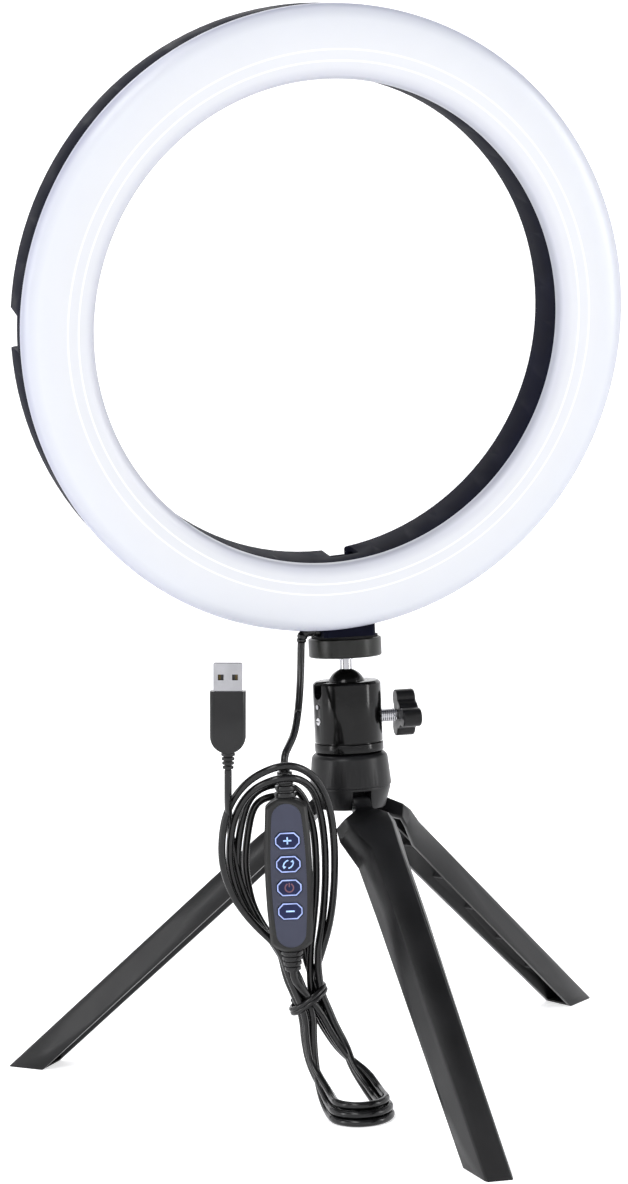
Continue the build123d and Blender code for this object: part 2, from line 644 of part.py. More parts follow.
def plug_overmould():
    """Moulded grip, 8 mm thick, with a rounded cord end."""
    half = 7.4
    low, high = SLEEVE_LEN - 0.4, SLEEVE_LEN + GRIP_LEN
    outline = make_face([Polyline((-half, low + 6.6), (-half, high), (half, high), (half, low + 6.6)),
                         ThreePointArc((half, low + 6.6), (0, low), (-half, low + 6.6))])
    grip = extrude(Plane(origin=(0, 4, 0), x_dir=(1, 0, 0), z_dir=(0, -1, 0)) * outline, 8)
    grip = chamfer(grip.edges().filter_by(Axis.Z), 1.0)
    return grip - box(-6.0, 6.0, -2.25, 2.25, high - 2.6, high + 1) - cyl(1.9, low - 1, low + 3.0)


def plug_shell():
    """Steel sleeve of the USB-A plug with its two latch holes."""
    low, high = SLEEVE_LEN + GRIP_LEN - 2.6, SLEEVE_LEN + GRIP_LEN + SHELL_LEN
    sleeve = box(-6.0, 6.0, -2.25, 2.25, low, high) - box(-5.7, 5.7, -1.95, 1.95, low - 1, high + 1)
    for x in (-2.95, 2.95):
        sleeve -= box(x - 1.2, x + 1.2, -5, 5, high - 7.0, high - 4.6)
    return sleeve


def plug_tongue():
    return box(-5.65, 5.65, 0.1, 1.9, SLEEVE_LEN + GRIP_LEN - 2.6, SLEEVE_LEN + GRIP_LEN + SHELL_LEN - 1.0)


def plug_contacts():
    contacts = []
    for x in (-3.5, -1.0, 1.0, 3.5):
        contacts.append(box(x - 0.5, x + 0.5, -0.05, 0.1, SLEEVE_LEN + GRIP_LEN, SLEEVE_LEN + GRIP_LEN + 9.7))
    return contacts


# ---------------------------------------------------------------- hank and tie
def waist(radius, length):
    return Plane(origin=WAIST_AT, z_dir=WAIST_AXIS) * Cylinder(radius, length)


def cord_hank():
    """Outer shape of the folded cord: a long loop above the tie and a lying loop below it."""
    hank = waist(WAIST_R, WAIST_LEN)
    for name, points in HANK_LIMBS.items():
        hank += tube(points, HANK_R, "hank " + name)
    return hank


def hank_tie(hank):
    """Twist tie round the hank's waist."""
    band = waist(WAIST_R + TIE_T, TIE_WIDTH) - waist(WAIST_R, TIE_WIDTH + 2)
    return (band - hank).solids().sort_by(SortBy.VOLUME)[-1]


def build():
    ring = ring_place()
    save("diffuser_cover", ring * diffuser_cover())
    save("rear_housing", rear_housing())
    save("led_board", ring * led_board())
    save("led_chips", *[ring * chip for chip in leds()])
    save("board_screws", *[ring * s for s in board_screws()])
    save("board_spacers", *[ring * s for s in board_spacers()])
    save("threaded_insert", threaded_insert())
    save("cable_gland", cable_gland())

    stem_at = stem_place()
    save("ball", Pos(0, 0, BALL_Z) * Sphere(BALL_R))
    save("stem", stem_at * stem())
    save("platform_disc", stem_at * platform_disc())
    save("platform_pad", stem_at * platform_pad())
    save("mount_stud", stem_at * mount_stud())

    save("head_body", head_body())
    save("ball_seat", ball_seat())
    save("seat_washer", seat_washer())
    save("head_base", head_base())
    save("slot_pin", slot_pin())
    save("side_screw", side_screw())
    save("lock_knob", lock_knob())
    save("knob_screw", knob_screw())

    save("hub_cap", hub_cap())
    save("hub_body", hub_body())
    save("tripod_stud", tripod_stud())
    save("hub_screw", hub_screw())
    save("hinge_pins", *hinge_pins())
    for name in LEG_AZIMUTHS:
        save("leg_" + name, leg(name))
        save("foot_pad_" + name, foot_pad(name))

    ctrl = ctrl_place()
    top_relief = strain_relief(CTRL_LEN / 2, CTRL_LEN / 2 + RELIEF_LEN_TOP, 4.7, 3.2)
    low_relief = strain_relief(-CTRL_LEN / 2, -CTRL_LEN / 2 - RELIEF_LEN_BOTTOM, 4.7, 3.4)
    save("dimmer_front", ctrl * ctrl_front_shell())
    save("dimmer_back", ctrl * ctrl_back_shell())
    save("dimmer_screws", *[ctrl * s for s in ctrl_screws()])
    save("dimmer_label", ctrl * label_panel())
    save("dimmer_board", ctrl * ctrl_board())
    save("dimmer_relief_top", ctrl * top_relief)
    save("dimmer_relief_bottom", ctrl * low_relief)
    for name, offset in BUTTON_OFFSETS.items():
        save("button_" + name, ctrl * button(offset))

    plug = plug_place()
    save("plug_grip", plug * plug_overmould())
    save("plug_shell", plug * plug_shell())
    save("plug_tongue", plug * plug_tongue())
    save("plug_contacts", *[plug * c for c in plug_contacts()])
    save("plug_relief", plug * strain_relief(SLEEVE_LEN - 0.4, 0.0, 2.9, 2.3))

    hank = cord_hank()
    save("cord_hank", hank)
    save("hank_tie", hank_tie(hank))
    save("cord_lead", tube(LEAD_ROUTE, CORD_R, "cord_lead"))
    save("cord_drop", tube(DROP_ROUTE, CORD_R, "cord_drop") - hank)
    save("cord_tail", tube(TAIL_ROUTE, CORD_R, "cord_tail") - hank)


if __name__ == "__main__":
    build()
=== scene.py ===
import json
import math

import bmesh
import bpy
from mathutils import Matrix, Quaternion, Vector


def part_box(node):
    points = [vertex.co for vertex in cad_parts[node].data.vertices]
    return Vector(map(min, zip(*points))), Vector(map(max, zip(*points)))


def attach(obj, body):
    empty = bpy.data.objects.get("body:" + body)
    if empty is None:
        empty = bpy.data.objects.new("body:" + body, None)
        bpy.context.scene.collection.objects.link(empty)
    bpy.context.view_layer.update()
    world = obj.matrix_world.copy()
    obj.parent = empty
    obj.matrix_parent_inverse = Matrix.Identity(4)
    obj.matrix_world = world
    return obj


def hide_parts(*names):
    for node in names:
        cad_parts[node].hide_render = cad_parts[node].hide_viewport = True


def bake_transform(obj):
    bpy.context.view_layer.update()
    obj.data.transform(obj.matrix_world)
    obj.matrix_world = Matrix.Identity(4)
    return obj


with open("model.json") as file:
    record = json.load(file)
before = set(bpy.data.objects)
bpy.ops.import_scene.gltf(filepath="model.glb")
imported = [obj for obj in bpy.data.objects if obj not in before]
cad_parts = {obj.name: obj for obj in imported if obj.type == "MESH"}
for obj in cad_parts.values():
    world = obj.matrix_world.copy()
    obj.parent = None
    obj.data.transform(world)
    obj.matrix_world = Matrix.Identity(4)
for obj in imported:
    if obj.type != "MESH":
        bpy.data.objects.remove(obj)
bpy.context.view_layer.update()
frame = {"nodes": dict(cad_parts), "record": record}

MM = 0.001

# The ring's own axes, with Y from its front to its back. It looks down, leans to its left and turns to the
# side of the lock knob.
RING_TILT, RING_LEAN, RING_YAW = (math.radians(degrees) for degrees in (12.8, -3.8, 3.0))
RING_TURN = (Matrix.Rotation(RING_YAW, 3, "Z") @ Matrix.Rotation(RING_LEAN, 3, "Y")
             @ Matrix.Rotation(RING_TILT, 3, "X"))
RING_X, RING_Y = RING_TURN @ Vector((1, 0, 0)), RING_TURN @ Vector((0, 1, 0))
RING_CENTRE = Vector((-11.2, -45.4, 325.0)) * MM
RING_OUTER = 130.0 * MM
RING_INNER = 100.5 * MM
COVER_RISE = 7.5 * MM          # dome of the diffuser over its flat rims
COVER_EDGE = 1.0 * MM          # straight edge under the dome

CORD_D = 3.2 * MM
SLEEVE_LENGTH = 9.0 * MM       # ribbed sleeve where the cord leaves the boss
DIMMER_TURN = math.radians(-13.0)


# ---------------------------------------------------------------- camera
def make_camera():
    """Long lens, a little to the left of the light and slightly above its ball head."""
    azimuth, elevation, roll = math.radians(-13.233), math.radians(2.874), math.radians(2.464)
    distance, target = 0.9333, Vector((-0.0151, -0.0094, 0.2141))
    back = Vector((math.sin(azimuth) * math.cos(elevation), -math.cos(azimuth) * math.cos(elevation),
                   math.sin(elevation)))
    right = Vector((math.cos(azimuth), math.sin(azimuth), 0.0))
    up = back.cross(right)
    turn = Quaternion(back, -roll)
    axes = Matrix((turn @ right, turn @ up, back)).transposed()
    data = bpy.data.cameras.new("camera")
    data.lens = 65.57
    data.clip_start, data.clip_end = 0.01, 20.0
    camera = bpy.data.objects.new("camera", data)
    camera.matrix_world = Matrix.Translation(target + back * distance) @ axes.to_4x4()
    bpy.context.scene.collection.objects.link(camera)
    bpy.context.scene.camera = camera


# ---------------------------------------------------------------- small tools
def link(obj):
    bpy.context.scene.collection.objects.link(obj)
    return obj


def mesh_object(name, vertices, faces, material=None, smooth=True):
    mesh = bpy.data.meshes.new(name)
    mesh.from_pydata([tuple(v) for v in vertices], [], faces)
    mesh.validate()
    if smooth:
        mesh.shade_smooth()
    if material:
        mesh.materials.append(material)
    return link(bpy.data.objects.new(name, mesh))


def smooth_by_angle(mesh, degrees):
    mesh.shade_smooth()
    mesh.set_sharp_from_angle(angle=math.radians(degrees))


def apply_modifiers(obj):
    """Bake the modifiers into the object's own mesh."""
    graph = bpy.context.evaluated_depsgraph_get()
    baked = bpy.data.meshes.new_from_object(obj.evaluated_get(graph))
    obj.modifiers.clear()
    obj.data = baked


def softened(node, width, segments=2, angle=30.0, flat=1.5, smooth=35.0):
    """Copy of a CAD node with its edges rounded; it stands for the node."""
    source = frame["nodes"][node]
    mesh = source.data.copy()
    work = bmesh.new()
    work.from_mesh(mesh)
    bmesh.ops.remove_doubles(work, verts=work.verts, dist=1e-6)
    bmesh.ops.dissolve_limit(work, angle_limit=math.radians(flat), verts=work.verts, edges=work.edges)
    work.to_mesh(mesh)
    work.free()
    piece = link(bpy.data.objects.new(node + "_shape", mesh))
    bevel = piece.modifiers.new("edges", "BEVEL")
    bevel.width = width * MM
    bevel.segments = segments
    bevel.limit_method = "ANGLE"
    bevel.angle_limit = math.radians(angle)
    bevel.use_clamp_overlap = True
    apply_modifiers(piece)
    smooth_by_angle(piece.data, smooth)
    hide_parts(node)
    return piece


def body_of_node(node):
    """Name of the body that the node moves with."""
    for body, nodes in frame["record"]["behaviour"]["bodies"].items():
        if node in nodes:
            return body
    raise KeyError(node)


def slot_of_node(node):
    """Name of the node's material slot."""
    for entry in frame["record"]["subparts"]:
        if entry["node"] == node:
            return entry["material_slot"]
    raise KeyError(node)


def place(piece, node, material=None):
    """The piece rides and is finished as the node is."""
    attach(piece, body_of_node(node))
    if material:
        paint(piece, material)


def paint(obj, material):
    obj.data.materials.clear()
    obj.data.materials.append(material)


def paint_node(node, material):
    obj = frame["nodes"][node]
    if obj.material_slots:
        for entry in obj.material_slots:
            entry.material = material
    else:
        obj.data.materials.append(material)


def lathe(name, profile, origin, axis_x, axis_y, steps, material=None):
    """Revolve (radius, along) points about axis_y; axis_x is where the turn starts."""
    axis_z = axis_x.cross(axis_y)
    vertices, faces = [], []
    for i in range(steps):
        angle = 2 * math.pi * i / steps
        out = axis_x * math.cos(angle) + axis_z * math.sin(angle)
        vertices += [origin + out * r + axis_y * a for r, a in profile]
    count = len(profile)
    for i in range(steps):
        j = (i + 1) % steps
        for k in range(count - 1):
            faces.append((i * count + k, i * count + k + 1, j * count + k + 1, j * count + k))
    return mesh_object(name, vertices, faces, material)


# ---------------------------------------------------------------- materials
def new_material(name):
    material = bpy.data.materials.new(name)
    material.use_nodes = True
    tree = material.node_tree
    shader = tree.nodes["Principled BSDF"]
    return material, tree, shader


def node(tree, kind, **values):
    made = tree.nodes.new(kind)
    for key, value in values.items():
        setattr(made, key, value)
    return made


def noise(tree, scale, detail=4.0, rough=0.55):
    coords = node(tree, "ShaderNodeTexCoord")
    made = node(tree, "ShaderNodeTexNoise")
    made.inputs["Scale"].default_value = scale
    made.inputs["Detail"].default_value = detail
    made.inputs["Roughness"].default_value = rough
    tree.links.new(coords.outputs["Object"], made.inputs["Vector"])
    return made


def ramp(tree, source, stops):
    made = node(tree, "ShaderNodeValToRGB")
    made.color_ramp.elements[0].position, made.color_ramp.elements[0].color = stops[0]
    made.color_ramp.elements[1].position, made.color_ramp.elements[1].color = stops[-1]
    for position, colour in stops[1:-1]:
        element = made.color_ramp.elements.new(position)
        element.color = colour
    tree.links.new(source, made.inputs["Fac"])
    return made


def grey(value):
    return (value, value, value, 1.0)


def add_relief(tree, shader, source, strength, distance):
    """Bump the surface by a texture; distance is in metres."""
    relief = node(tree, "ShaderNodeBump")
    relief.inputs["Strength"].default_value = strength
    relief.inputs["Distance"].default_value = distance
    tree.links.new(source.outputs["Fac"], relief.inputs["Height"])
    tree.links.new(relief.outputs["Normal"], shader.inputs["Normal"])


def moulded(name, colour, roughness, grain=900.0, bump=0.12, mottling=0.25, specular=0.5):
    """Moulded or coated surface: fine grain, faint mottling and uneven gloss."""
    material, tree, shader = new_material(name)
    broad = noise(tree, 45.0, 6.0)
    darker = tuple(c * (1 - mottling) for c in colour) + (1.0,)
    lighter = tuple(min(1.0, c * (1 + mottling)) for c in colour) + (1.0,)
    tint = ramp(tree, broad.outputs["Fac"], [(0.35, darker), (0.65, lighter)])
    tree.links.new(tint.outputs["Color"], shader.inputs["Base Color"])
    duller = min(1.0, roughness * 1.14)
    gloss = ramp(tree, broad.outputs["Fac"], [(0.3, grey(roughness * 0.88)), (0.7, grey(duller))])
    tree.links.new(gloss.outputs["Color"], shader.inputs["Roughness"])
    add_relief(tree, shader, noise(tree, grain, 3.0, 0.6), bump, 0.12 * MM)
    shader.inputs["Specular IOR Level"].default_value = specular
    return material


def metal(name, colour, roughness, scratches=2500.0, bump=0.05):
    """Polished or brushed metal with fine scratches and uneven gloss."""
    material, tree, shader = new_material(name)
    shader.inputs["Metallic"].default_value = 1.0
    broad = noise(tree, 120.0, 5.0)
    darker = tuple(c * 0.88 for c in colour) + (1.0,)
    tint = ramp(tree, broad.outputs["Fac"], [(0.35, darker), (0.65, tuple(colour) + (1.0,))])
    tree.links.new(tint.outputs["Color"], shader.inputs["Base Color"])
    gloss = ramp(tree, broad.outputs["Fac"], [(0.3, grey(roughness * 0.7)), (0.7, grey(roughness * 1.3))])
    tree.links.new(gloss.outputs["Color"], shader.inputs["Roughness"])
    add_relief(tree, shader, noise(tree, scratches, 2.0, 0.7), bump, 0.05 * MM)
    return material


def ring_radius(tree):
    """Distance from the ring's axis, 0 at its inner edge and 1 at its outer edge."""
    coords = node(tree, "ShaderNodeTexCoord")
    shifted = node(tree, "ShaderNodeVectorMath", operation="SUBTRACT")
    shifted.inputs[1].default_value = RING_CENTRE
    tree.links.new(coords.outputs["Object"], shifted.inputs[0])
    along = node(tree, "ShaderNodeVectorMath", operation="DOT_PRODUCT")
    along.inputs[1].default_value = RING_Y
    tree.links.new(shifted.outputs["Vector"], along.inputs[0])
    depth = node(tree, "ShaderNodeVectorMath", operation="SCALE")
    depth.inputs[0].default_value = RING_Y
    tree.links.new(along.outputs["Value"], depth.inputs["Scale"])
    flat = node(tree, "ShaderNodeVectorMath", operation="SUBTRACT")
    tree.links.new(shifted.outputs["Vector"], flat.inputs[0])
    tree.links.new(depth.outputs["Vector"], flat.inputs[1])
    length = node(tree, "ShaderNodeVectorMath", operation="LENGTH")
    tree.links.new(flat.outputs["Vector"], length.inputs[0])
    share = node(tree, "ShaderNodeMapRange")
    share.inputs["From Min"].default_value = RING_INNER
    share.inputs["From Max"].default_value = RING_OUTER
    tree.links.new(length.outputs["Value"], share.inputs["Value"])
    return share.outputs["Result"]


def diffuser_material():
    """Milky plastic with painted shade: cool and darker towards both rims, and two faint painted bright lines
    over the rows of lights.
    """
    material, tree, shader = new_material("milky_diffuser")
    share = ring_radius(tree)
    milk = (0.53, 0.54, 0.565, 1)
    # Painted shade: the colour darkens and cools towards the inner and outer rims. The light stops at 0.25
    # and 0.40 are painted bright lines over the rows of lights.
    tint = ramp(tree, share, [
        (0.0, (0.29, 0.30, 0.35, 1)), (0.05, (0.46, 0.47, 0.52, 1)), (0.16, (0.53, 0.54, 0.57, 1)),
        (0.235, milk), (0.25, (0.80, 0.80, 0.80, 1)), (0.265, milk),
        (0.385, milk), (0.40, (0.78, 0.78, 0.79, 1)), (0.415, milk),
        (0.80, (0.52, 0.535, 0.57, 1)), (0.94, (0.44, 0.455, 0.51, 1)), (1.0, (0.31, 0.32, 0.40, 1))])
    tree.links.new(tint.outputs["Color"], shader.inputs["Base Color"])
    # The emission also fades towards both rims, which is painted shade in the glow, and is strongest near the
    # rows of lights.
    glow = ramp(tree, share, [
        (0.0, grey(0.05)), (0.25, grey(0.70)), (0.40, grey(0.75)), (0.6, grey(0.62)),
        (0.85, grey(0.42)), (1.0, grey(0.06))])
    tree.links.new(glow.outputs["Color"], shader.inputs["Emission Color"])
    shader.inputs["Emission Strength"].default_value = 0.06
    shader.inputs["Roughness"].default_value = 0.34
    shader.inputs["Subsurface Weight"].default_value = 0.35
    shader.inputs["Subsurface Radius"].default_value = (0.004, 0.004, 0.005)
    shader.inputs["Subsurface Scale"].default_value = 1.0
    add_relief(tree, shader, noise(tree, 1400.0, 2.0), 0.04, 0.1 * MM)
    return material


def glowing(name, colour, strength):
    """Lit print on a button, a little uneven."""
    material, tree, shader = new_material(name)
    flicker = noise(tree, 260.0, 3.0)
    dim = tuple(c * 0.6 for c in colour) + (1.0,)
    tint = ramp(tree, flicker.outputs["Fac"], [(0.3, dim), (0.7, tuple(colour) + (1.0,))])
    tree.links.new(tint.outputs["Color"], shader.inputs["Emission Color"])
    tree.links.new(tint.outputs["Color"], shader.inputs["Base Color"])
    shader.inputs["Emission Strength"].default_value = strength
    shader.inputs["Roughness"].default_value = 0.3
    return material


def make_materials():
    """One material for each slot of the record, and three for the lit marks."""
    return {
        "diffuser": diffuser_material(),
        "housing": moulded("housing_plastic", (0.0045, 0.0050, 0.0115), 0.55, grain=1600.0, bump=0.10,
                           specular=0.02),
        "board_white": moulded("white_board", (0.80, 0.81, 0.79), 0.45, grain=1200.0, bump=0.05,
                               mottling=0.05),
        "led_yellow": moulded("phosphor", (0.90, 0.78, 0.25), 0.25, grain=1500.0, bump=0.05, mottling=0.08),
        "screw_steel": metal("plated_steel", (0.58, 0.58, 0.60), 0.28),
        "brass": metal("turned_brass", (0.78, 0.58, 0.28), 0.25),
        "cord_pvc": moulded("black_pvc", (0.003, 0.003, 0.0033), 0.20, grain=1800.0, bump=0.05, mottling=0.3,
                            specular=0.36),
        "head_black": moulded("black_anodised_gloss", (0.002, 0.002, 0.002), 0.16, grain=2600.0, bump=0.03,
                              mottling=0.3, specular=0.22),
        "disc_black": moulded("black_anodised_satin", (0.006, 0.0065, 0.005), 0.33, grain=2200.0, bump=0.05,
                              mottling=0.4, specular=0.3),
        "pad_rubber": moulded("black_rubber", (0.008, 0.008, 0.008), 0.75, grain=1100.0, bump=0.35,
                              mottling=0.3, specular=0.2),
        "chrome": metal("chrome_plate", (0.42, 0.42, 0.44), 0.10, scratches=3000.0, bump=0.02),
        "nylon": moulded("natural_nylon", (0.75, 0.74, 0.70), 0.5, grain=900.0, bump=0.08, mottling=0.06),
        "knob_black": moulded("knob_plastic", (0.004, 0.004, 0.0045), 0.36, grain=1500.0, specular=0.25),
        "hub_black": moulded("hub_plastic", (0.004, 0.004, 0.0045), 0.34, grain=1500.0, bump=0.14,
                             specular=0.25),
        "leg_black": moulded("leg_plastic", (0.004, 0.004, 0.0045), 0.34, grain=1300.0, bump=0.22,
                             specular=0.25),
        "dimmer_case": moulded("dimmer_plastic", (0.010, 0.010, 0.010), 0.38, grain=1700.0, bump=0.15,
                               specular=0.3),
        "dimmer_label": moulded("label_film", (0.030, 0.033, 0.055), 0.34, grain=2400.0, bump=0.04,
                                mottling=0.12, specular=0.3),
        "button_glow": moulded("button_film", (0.006, 0.010, 0.045), 0.30, grain=2400.0, bump=0.04,
                               mottling=0.15, specular=0.2),
        "outline_light": glowing("lit_outline", (0.26, 0.33, 0.62), 0.65),
        "sign_light": glowing("lit_sign", (0.30, 0.46, 0.80), 0.75),
        "power_light": glowing("dim_red_sign", (0.10, 0.035, 0.05), 0.6),
        "circuit_green": moulded("circuit_board", (0.03, 0.20, 0.08), 0.4, grain=800.0, bump=0.08),
        "tongue_white": moulded("tongue_plastic", (0.03, 0.03, 0.032), 0.5, grain=1200.0, bump=0.05,
                                mottling=0.05),
        "contact_gold": metal("gold_plate", (0.10, 0.075, 0.035), 0.3),
    }


# ---------------------------------------------------------------- cords
# Routes are in mm. The hank's turns start and end in the waist, where a twist tie holds all strands.
LEAD_ROUTE = [(-14.9, -6.0, 197.5), (-18.0, -6.0, 197.5), (-20.6, -6.1, 195.4), (-21.3, -6.6, 190.5),
              (-22.1, -8.2, 182.0), (-23.8, -11.8, 172.0), (-26.6, -18.2, 162.5), (-30.2, -26.4, 155.4),
              (-34.4, -33.4, 151.2), (-38.0, -38.5, 147.4), (-38.0, -38.5, 142.05)]
DROP_ROUTE = [(-38.0, -38.5, 56.5), (-37.8, -38.5, 53.0), (-34.5, -36.8, 48.5)]
TAIL_ROUTE = [(-59.6, -26.8, 112.0), (-61.0, -31.0, 120.5), (-62.4, -37.2, 128.6), (-63.0, -42.0, 135.6),
              (-62.6, -42.0, 143.9)]
RISE_ROUTE = [(-42.0, -29.0, 64.0), (-50.5, -28.4, 77.0), (-56.8, -27.6, 93.0)]
WAIST = Vector((-30.3, -30.6, 42.5))
WAIST_ALONG = Vector((-0.30, 0.12, 0.95)).normalized()
WAIST_ACROSS = Vector((0.93, 0.20, 0.27)).normalized()
WAIST_DEEP = WAIST_ALONG.cross(WAIST_ACROSS).normalized()
STRAND_PITCH = 3.4
STRANDS = ((0.5, -1), (1.5, 0), (0.5, 0), (1.5, -1), (0.5, 1))    # column and row of each turn in the waist
HANK_FOOT = 58.0               # height above which the upper turns spread
OUTER_WIDTH = 49.1             # width of the outermost upper turn


def nurbs(name, route):
    """Smooth open curve with the route's points, given in mm, as its control points."""
    data = bpy.data.curves.new(name, "CURVE")
    data.dimensions = "3D"
    data.resolution_u = 10
    data.bevel_resolution = 5
    data.use_fill_caps = True
    spline = data.splines.new("NURBS")
    spline.points.add(len(route) - 1)
    for point, (x, y, z) in zip(spline.points, route):
        point.co = (x * MM, y * MM, z * MM, 1.0)
    spline.order_u = 3
    spline.use_endpoint_u = True
    return link(bpy.data.objects.new(name, data))


def line_of(curve):
    """Points along the smooth line of a curve with no bevel."""
    graph = bpy.context.evaluated_depsgraph_get()
    mesh = bpy.data.meshes.new_from_object(curve.evaluated_get(graph))
    points = [v.co.copy() for v in mesh.vertices]
    bpy.data.meshes.remove(mesh)
    return points


def line_length(points):
    return sum((b - a).length for a, b in zip(points, points[1:]))


def resampled(points, start, stop, step):
    """Evenly spaced points between two distances along a line."""
    count = max(2, round((stop - start) / step))
    wanted = [start + (stop - start) * i / count for i in range(count + 1)]
    result, walked, index = [], 0.0, 0
    for distance in wanted:
        while index < len(points) - 2 and walked + (points[index + 1] - points[index]).length < distance:
            walked += (points[index + 1] - points[index]).length
            index += 1
        run = points[index + 1] - points[index]
        result.append(points[index] + run * ((distance - walked) / max(run.length, 1e-9)))
    return result


def sweep_along(name, points, radius_at, sides):
    """Round tube along points; radius_at gives the radius for each index."""
    vertices, faces = [], []
    count = len(points)
    tangent = (points[1] - points[0]).normalized()
    side = tangent.orthogonal().normalized()
    for i, point in enumerate(points):
        ahead = points[min(i + 1, count - 1)] - points[max(i - 1, 0)]
        turn = tangent.rotation_difference(ahead.normalized())
        side = (turn @ side).normalized()
        tangent = ahead.normalized()
        up = tangent.cross(side)
        for k in range(sides):
            angle = 2 * math.pi * k / sides
            vertices.append(point + (side * math.cos(angle) + up * math.sin(angle)) * radius_at(i))
    for i in range(count - 1):
        for k in range(sides):
            j = (k + 1) % sides
            faces.append((i * sides + k, i * sides + j, (i + 1) * sides + j, (i + 1) * sides + k))
    faces.append(tuple(range(sides))[::-1])
    faces.append(tuple(range((count - 1) * sides, count * sides)))
    return mesh_object(name, vertices, faces)


def make_lead(materials):
    """Sleeve and two lengths of cord from the boss to the dimmer."""
    route = nurbs("lead_route", LEAD_ROUTE)
    line = line_of(route)
    bpy.data.objects.remove(route)
    total = line_length(line)
    middle = (SLEEVE_LENGTH + total) / 2
    overlap = 0.2 * MM
    sleeve_line = resampled(line, 0.0, SLEEVE_LENGTH, 0.5 * MM)

    def sleeve_radius(i):
        taper = 2.9 - 0.9 * i / (len(sleeve_line) - 1)
        groove = 0.35 if i % 4 == 3 else 0.0
        return (taper - groove) * MM

    sleeve = sweep_along("lead_sleeve", sleeve_line, sleeve_radius, 24)
    parts = []
    for name, start, stop in (("lead_upper", SLEEVE_LENGTH - overlap, middle), ("lead_lower", middle, total)):
        path = resampled(line, start, stop, 1.0 * MM)
        parts.append((sweep_along(name, path, lambda i: CORD_D / 2, 24), path))
    (upper, upper_path), (lower, lower_path) = parts
    for piece in (sleeve, upper, lower):
        paint(piece, materials["cord_pvc"])
    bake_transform(sleeve)
    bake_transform(upper)
    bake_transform(lower)
    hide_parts("cord_lead")
    return sleeve, upper, upper_path, lower, lower_path


def tie_strand(column, row):
    """Place of one strand in the tied waist, at a height above or below the tie along the waist."""
    def at(height):
        pitch = STRAND_PITCH * (1.0 + abs(height) * 0.012)
        aside = WAIST_ACROSS * (column * pitch) + WAIST_DEEP * (row * pitch)
        return tuple(WAIST + WAIST_ALONG * height + aside)
    return at


def upper_loop(index, strand_in, strand_out):
    """One turn above the tie, up its left limb and down its right limb. Turn 0 is the outermost."""
    top = 143.0 - index * 5.0
    left, right = -65.5 + index * 3.9, -16.4 - index * 3.4
    front = -33.0 + index * 3.0
    # The two outer turns cross in front of the dimmer's relief; the two inner ones stay behind the dimmer.
    top_y = -44.5 if index < 2 else index - 29.0
    width = (right - left) / OUTER_WIDTH
    middle_x = (left + right) / 2 + 1.95 * width
    entry, leaving = strand_in(12.0)[1], strand_out(5.0)[1]
    shoulder_y = (front + top_y) / 2

    def rise(share):
        return HANK_FOOT + (top - HANK_FOOT) * share
    return [
        strand_in(12.0), (left + 23.5 * width, front * 0.6 + entry * 0.4, rise(0.09)),
        (left + 12.5 * width, front * 0.9 + entry * 0.1, rise(0.22)), (left + 5.0 * width, front, rise(0.35)),
        (left + 1.0, front, rise(0.48)), (left, front, rise(0.62)),
        (left + 2.8 * width, front - 1.0, rise(0.80)),
        (left + 10.5 * width ** 1.5, shoulder_y, rise(0.98 - 0.04 * width)),
        (middle_x - 5.0, top_y, top + 1.2), (middle_x + 5.0, top_y, top + 1.2),
        (right - 7.5 * width ** 1.5, shoulder_y, rise(0.98 - 0.05 * width)),
        (right - 1.5 * width, front - 1.0, rise(0.78)), (right, front, rise(0.60)),
        (right - 0.6, front, rise(0.40)), (right - 2.8, front * 0.8 + leaving * 0.2, rise(0.20)),
        (right - 7.0 + index, front * 0.5 + leaving * 0.5, 61.0),
    ]


def lower_loop(index, strand_out, strand_in):
    """One turn below the tie: down the right limb, round on the table and back up the left limb."""
    layer = (1.7, 1.7, 4.9, 5.0, 8.2)[index]
    left = (-31.0, -27.8, -30.6, -27.5, -29.4)[index]
    right = (-6.4, -9.6, -6.8, -9.9, -8.0)[index]
    end = (-81.0, -77.6, -80.4, -77.0, -78.8)[index]
    half = (right - left) / 2
    corner, shoulder = 0.586 * half, 1.414 * half      # corners of an octagon round the half circle
    aside_out = Vector(strand_out(0.0)) - WAIST
    aside_in = Vector(strand_in(0.0)) - WAIST

    def near(x, y, z, aside, share):
        return tuple(Vector((x, y, z)) + aside * share)
    return [
        strand_out(-7.0), near(-24.8, -33.3, 29.0, aside_out, 0.9), near(-20.0, -36.8, 21.0, aside_out, 0.7),
        near(-7.6 + right, -42.2, 13.0 + layer * 0.5, aside_out, 0.4), (right - 2.2, -49.5, 5.0 + layer),
        (right - 0.2, -57.5, 1.0 + layer), (right, end + shoulder, layer), (right, end + corner, layer),
        (right - corner, end, layer), (left + corner, end, layer), (left, end + corner, layer),
        (left, end + shoulder, layer), (left, -55.0, 1.8 + layer),
        near(-30.6 + (left + 31.0) * 0.7, -46.0, 7.0 + layer * 0.7, aside_in, 0.3),
        near(-30.1, -38.6, 17.5, aside_in, 0.6), near(-29.4, -34.3, 27.0, aside_in, 0.9), strand_in(-7.0),
    ]


def make_folded_cord(materials):
    """The rest of the lead, from the dimmer through the tied hank to the plug."""
    rights = [tie_strand(column, row) for column, row in STRANDS]
    lefts = [tie_strand(-column, row) for column, row in STRANDS]
    last = len(STRANDS) - 1
    route = list(DROP_ROUTE)
    for i in range(len(STRANDS)):
        route += lower_loop(i, rights[i], lefts[i]) + [lefts[i](0.0), lefts[i](6.0)]
        if i < last:
            route += upper_loop(last - 1 - i, lefts[i], rights[i + 1]) + [rights[i + 1](1.0)]
    route += [lefts[last](12.0)] + RISE_ROUTE + TAIL_ROUTE
    cord = nurbs("folded_cord", route)
    line = line_of(cord)
    cord.data.bevel_depth = CORD_D / 2
    cord.data.materials.append(materials["cord_pvc"])
    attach(cord, "tripod")
    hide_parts("cord_hank", "cord_drop", "cord_tail")
    return cord, line


